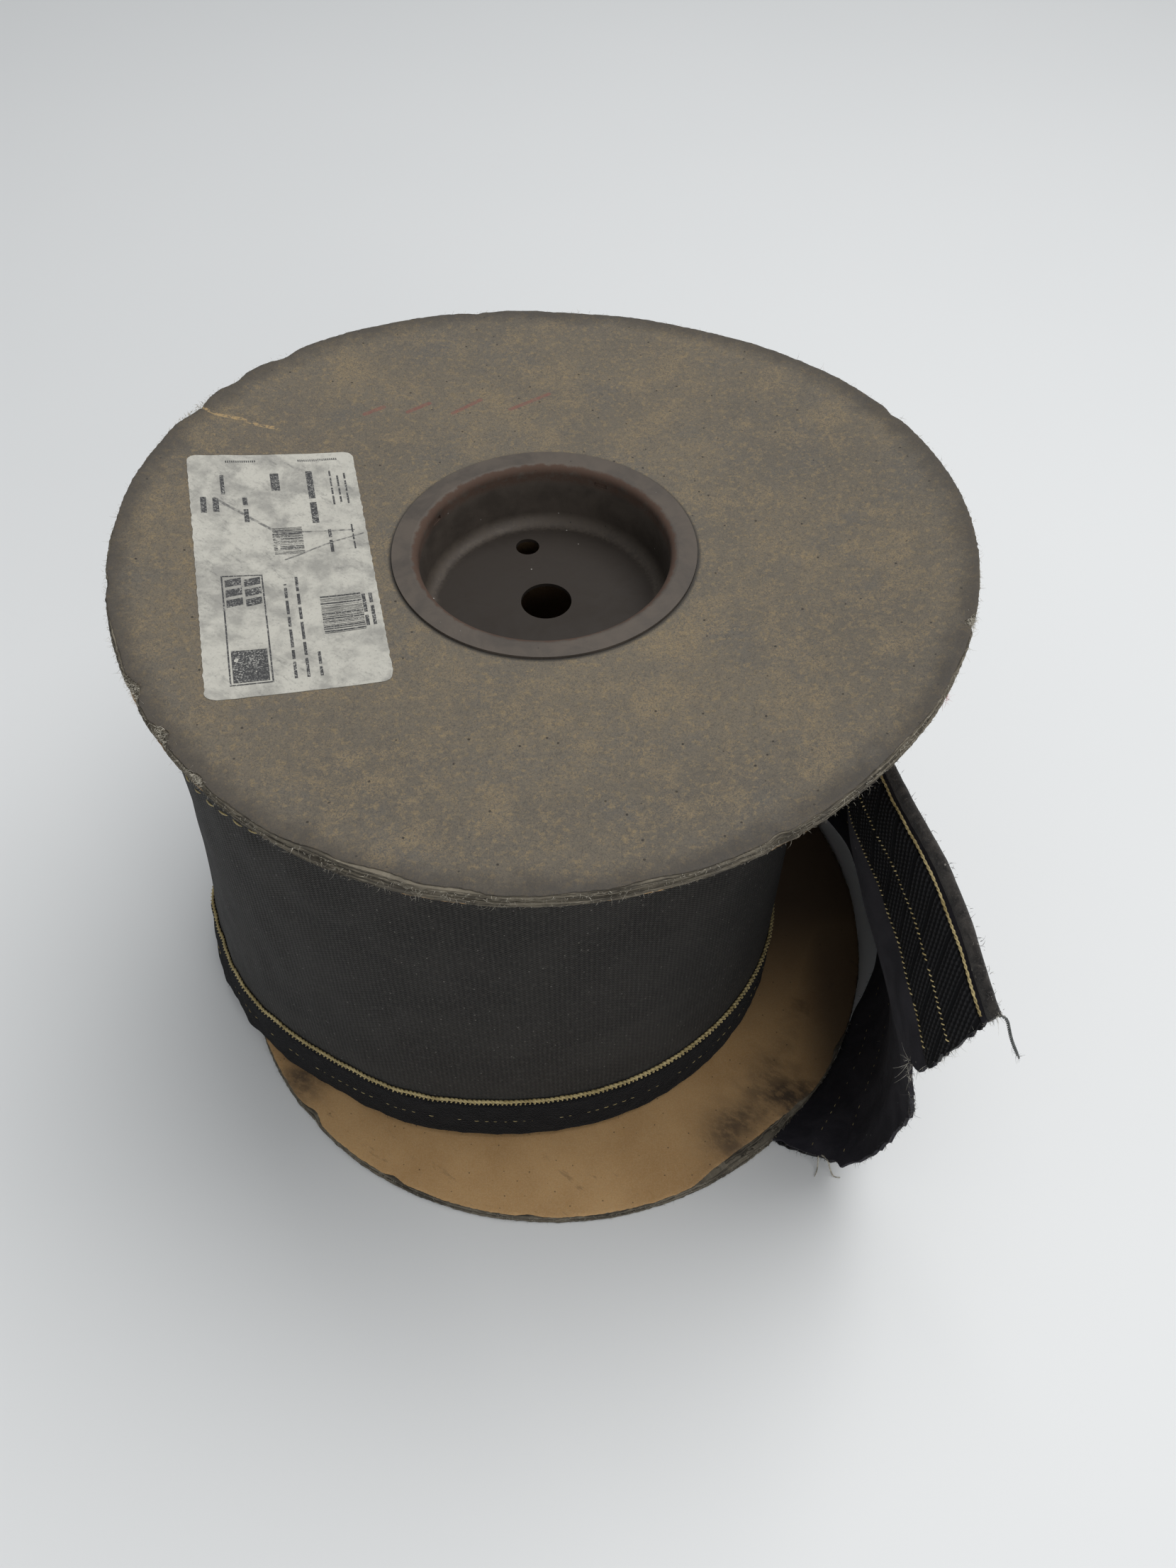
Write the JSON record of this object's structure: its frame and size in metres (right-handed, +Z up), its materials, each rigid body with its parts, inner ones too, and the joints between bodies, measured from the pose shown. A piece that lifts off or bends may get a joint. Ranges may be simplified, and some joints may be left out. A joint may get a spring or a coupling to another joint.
{
  "type": "spool of hook and loop cable wrap",
  "caption": "Flanged fibreboard spool with steel hub cups, wound with a wide woven wrap that has hook and loop edge strips; last turn loose, cut tail standing free.",
  "frame": {"origin": "centre of the spool's axis at the underside of the lower flange", "axes": "+Z up along the spool's axis through both arbor bores; the tail leaves on the +X side and ends towards -Y"},
  "size_m": [0.2841, 0.2844, 0.2228],
  "materials": {
    "kraft_outer": "soiled kraft facing, dull",
    "kraft_inner": "plain kraft facing, dull, smudged",
    "chipboard": "grey laminated chipboard, frayed at the rim",
    "core_paper": "spirally wound paper tube",
    "hub_steel": "stamped steel, dull and oxidised",
    "label_paper": "scuffed matt label",
    "woven_glass": "charcoal woven glass fabric, matt",
    "loop_tape": "black napped loop tape",
    "hook_tape": "black hook tape with a diagonal weave",
    "thread": "gold high temperature sewing thread",
    "binding_tape": "dark fuzzy binding"
  },
  "bodies": {
    "root": {"upper_flange_outer_liner": "kraft_outer", "upper_flange_outer_ply": "chipboard", "upper_flange_inner_ply": "chipboard", "upper_flange_inner_liner": "kraft_inner", "lower_flange_inner_liner": "kraft_inner", "lower_flange_inner_ply": "chipboard", "lower_flange_outer_ply": "chipboard", "upper_hub_cup": "hub_steel", "lower_hub_cup": "hub_steel", "core_tube": "core_paper", "label": "label_paper", "wound_roll": "woven_glass", "roll_loop_strip": "loop_tape", "loose_turn_fabric": "woven_glass", "tail_fabric": "woven_glass", "loose_turn_loop_strip": "loop_tape", "tail_loop_strip": "loop_tape", "loose_turn_hook_strip": "hook_tape", "tail_hook_strip": "hook_tape", "loop_seam_upper": "thread", "loop_seam_middle": "thread", "hook_seam_lower": "thread", "hook_seam_middle": "thread", "hook_seam_upper": "thread", "edge_binding": "binding_tape"}
  },
  "joints": []
}
